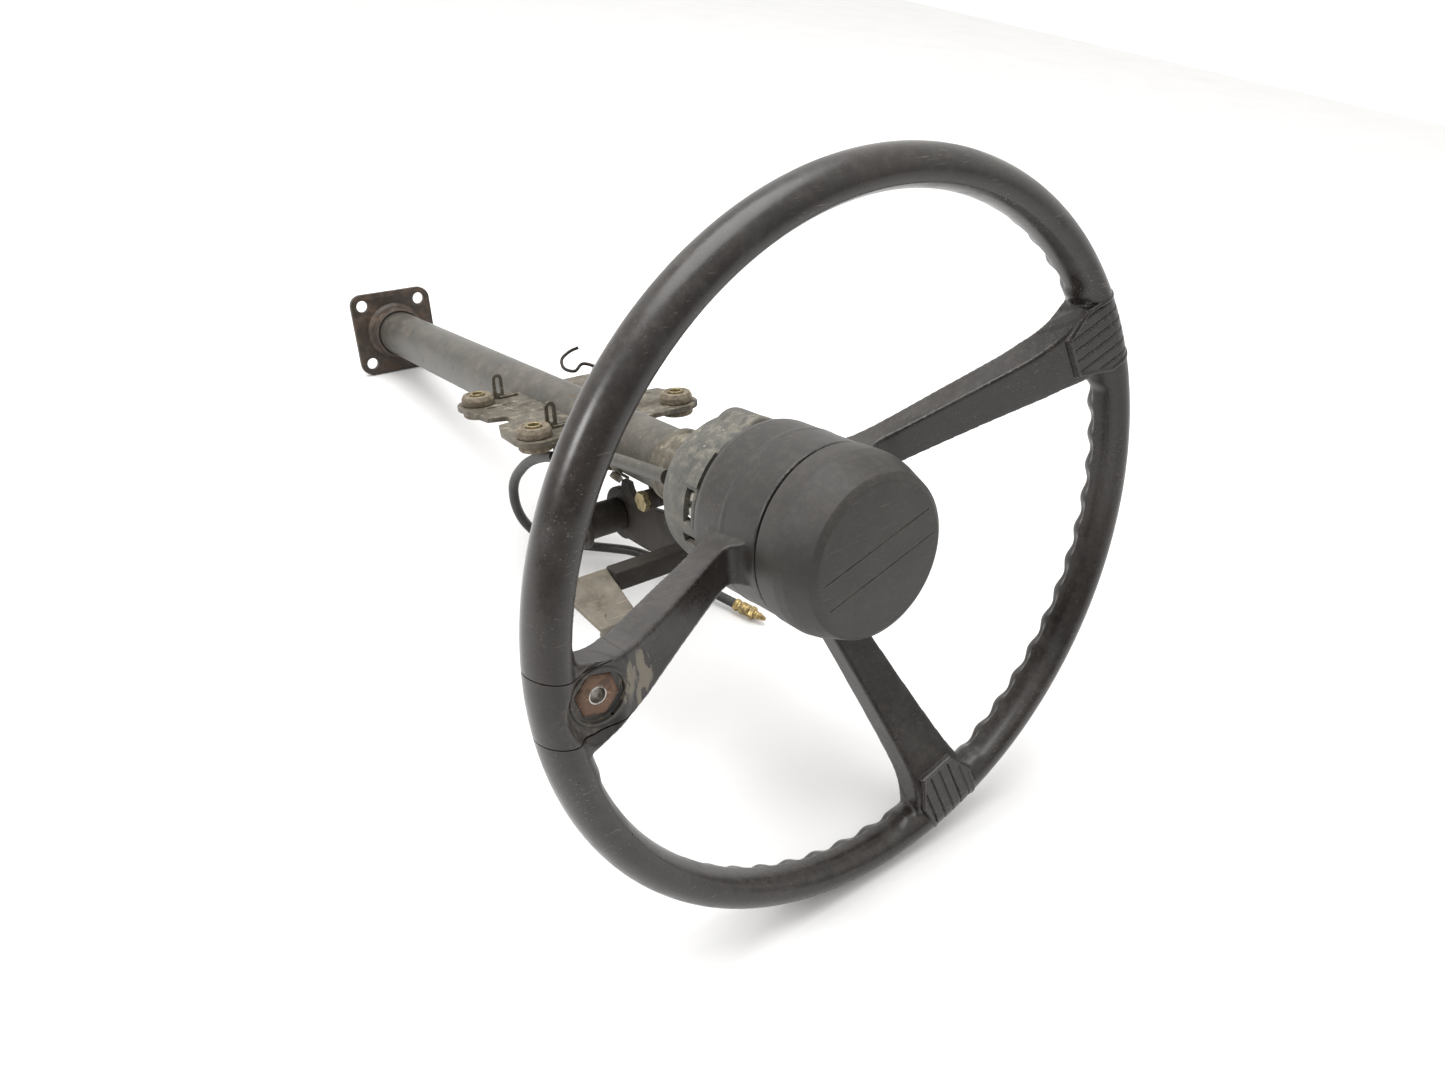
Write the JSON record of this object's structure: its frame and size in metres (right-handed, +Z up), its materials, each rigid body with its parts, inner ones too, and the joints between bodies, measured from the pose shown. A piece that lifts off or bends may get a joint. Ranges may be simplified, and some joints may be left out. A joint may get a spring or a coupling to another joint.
{
  "type": "steering column",
  "caption": "Industrial truck steering column: three-spoke wheel with horn pad, tube with square flange, rubber-isolated bracket, tilt lock lever and hose.",
  "frame": {"origin": "on the ground under the middle of the bounding box", "axes": "+Z up, +Y from the steering wheel towards the flange, +X to the driver's right; the assembly lies on the wheel rim and the flange's lower edge, so the column's own axis dips 12.4 degrees below +Y"},
  "size_m": [0.3798, 0.7292, 0.371],
  "materials": {
    "wheel_plastic": "near-black moulded rim plastic, satin from hand wear, with brown scuffs and fine scratches",
    "pad_plastic": "dark grey fine-grained plastic, matte",
    "housing_plastic": "dark grey plastic under mottled beige dust",
    "column_paint": "dark grey-green paint on steel, dusty, worn at edges",
    "bracket_steel": "brown-grey primered steel, dusty",
    "rusty_steel": "dark brown steel with surface rust",
    "zinc_yellow": "yellow zinc plated steel, dulled",
    "bright_steel": "bare machined steel, lightly oiled",
    "isolator_rubber": "olive-brown rubber, dusty",
    "hose_rubber": "black rubber hose, smooth",
    "brass": "dull brass",
    "white_plastic": "off-white nylon",
    "black_plastic": "black nylon"
  },
  "bodies": {
    "column": {"column_tube": "column_paint", "bearing_collar": "rusty_steel", "upper_bearing": "bright_steel", "shaft_seal": "black_plastic", "lower_bearing": "bright_steel", "bearing_retainer": "bright_steel", "mounting_flange": "column_paint", "flange_collar": "column_paint", "housing_upper": "housing_plastic", "housing_lower": "housing_plastic", "housing_screw_1": "bright_steel", "housing_screw_2": "bright_steel", "signal_switch_body": "black_plastic", "mount_bracket": "bracket_steel", "isolator_near_left": "isolator_rubber", "isolator_sleeve_near_left": "zinc_yellow", "isolator_near_right": "isolator_rubber", "isolator_sleeve_near_right": "zinc_yellow", "isolator_far_left": "isolator_rubber", "isolator_sleeve_far_left": "zinc_yellow", "isolator_far_right": "isolator_rubber", "isolator_sleeve_far_right": "zinc_yellow", "cable_tab_far": "bracket_steel", "cable_tab_near": "bracket_steel", "wire_hook": "rusty_steel", "stay_rod": "column_paint", "rod_clip": "bracket_steel", "clip_screw": "bracket_steel", "hose": "hose_rubber", "hose_ferrule": "brass", "hose_fitting": "brass", "pivot_hanger": "rusty_steel", "pivot_tube": "rusty_steel", "pivot_bolt": "zinc_yellow", "pivot_nut": "zinc_yellow", "clamp_lug": "rusty_steel", "clamp_spacer": "rusty_steel", "clamp_bolt": "zinc_yellow", "clamp_nut": "zinc_yellow"},
    "wheel": {"wheel_moulding": "wheel_plastic", "knob_spoke_cover": "wheel_plastic", "knob_mount_hex": "rusty_steel", "knob_mount_bush": "bright_steel", "hub_boss": "bracket_steel", "shaft_nut": "zinc_yellow", "shaft_nut_washer": "bright_steel", "signal_cancel_cam": "white_plastic", "steering_shaft": "bright_steel", "spline_coupling": "bright_steel", "horn_spring": "bright_steel", "horn_contact_plate": "zinc_yellow", "contact_post_1": "bright_steel", "contact_post_2": "bright_steel", "contact_post_3": "bright_steel"},
    "horn": {"horn_pad": "pad_plastic"},
    "lever": {"lever_plate": "rusty_steel", "lever_arm": "rusty_steel", "lever_pad": "column_paint"},
    "switch": {"stalk_socket": "white_plastic"}
  },
  "joints": [
    {"name": "wheel_turn", "type": "hinge", "parent": "column", "child": "wheel", "pos_m": [0, -0.31374, 0.18556], "axis": [0, 0.9766, -0.215], "continuous": true},
    {"name": "horn_press", "type": "slide", "parent": "wheel", "child": "horn", "axis": [0, 0.9766, -0.215], "range_m": [0, 0.0012], "stiffness_N_per_m": 500},
    {"name": "tilt_lock", "type": "hinge", "parent": "column", "child": "lever", "pos_m": [0, -0.07543, 0.07269], "axis": [1, 0, 0], "range_deg": [-2.5, 12], "stiffness_Nm_per_rad": 6},
    {"name": "signal_swing", "type": "hinge", "parent": "column", "child": "switch", "pos_m": [0, -0.21608, 0.16406], "axis": [0, 0.9766, -0.215], "range_deg": [-8, 8], "stiffness_Nm_per_rad": 0.4}
  ]
}
